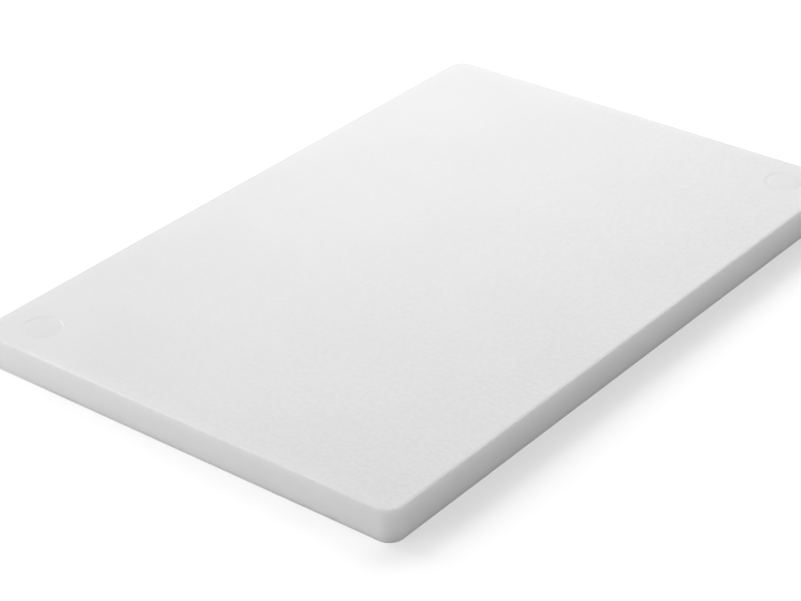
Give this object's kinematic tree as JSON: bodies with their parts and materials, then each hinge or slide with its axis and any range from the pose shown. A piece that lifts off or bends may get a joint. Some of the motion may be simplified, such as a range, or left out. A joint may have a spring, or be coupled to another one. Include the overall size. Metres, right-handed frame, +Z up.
{
  "type": "cutting board",
  "caption": "Thick rectangular white plastic cutting board with rounded corners, lightly broken edges and small round discs set into opposite corners of its working face.",
  "frame": {"origin": "centre of the underside, where the board rests on a worktop", "axes": "+X along the board's long side, +Y along its short side, +Z up through the working face"},
  "size_m": [0.45, 0.3, 0.02],
  "materials": {
    "board_plastic": "satin, fine grained working face and smooth sides",
    "disc_plastic": "satin"
  },
  "bodies": {
    "root": {"board_slab": "board_plastic", "corner_disc_left": "disc_plastic", "corner_disc_right": "disc_plastic"}
  },
  "joints": []
}
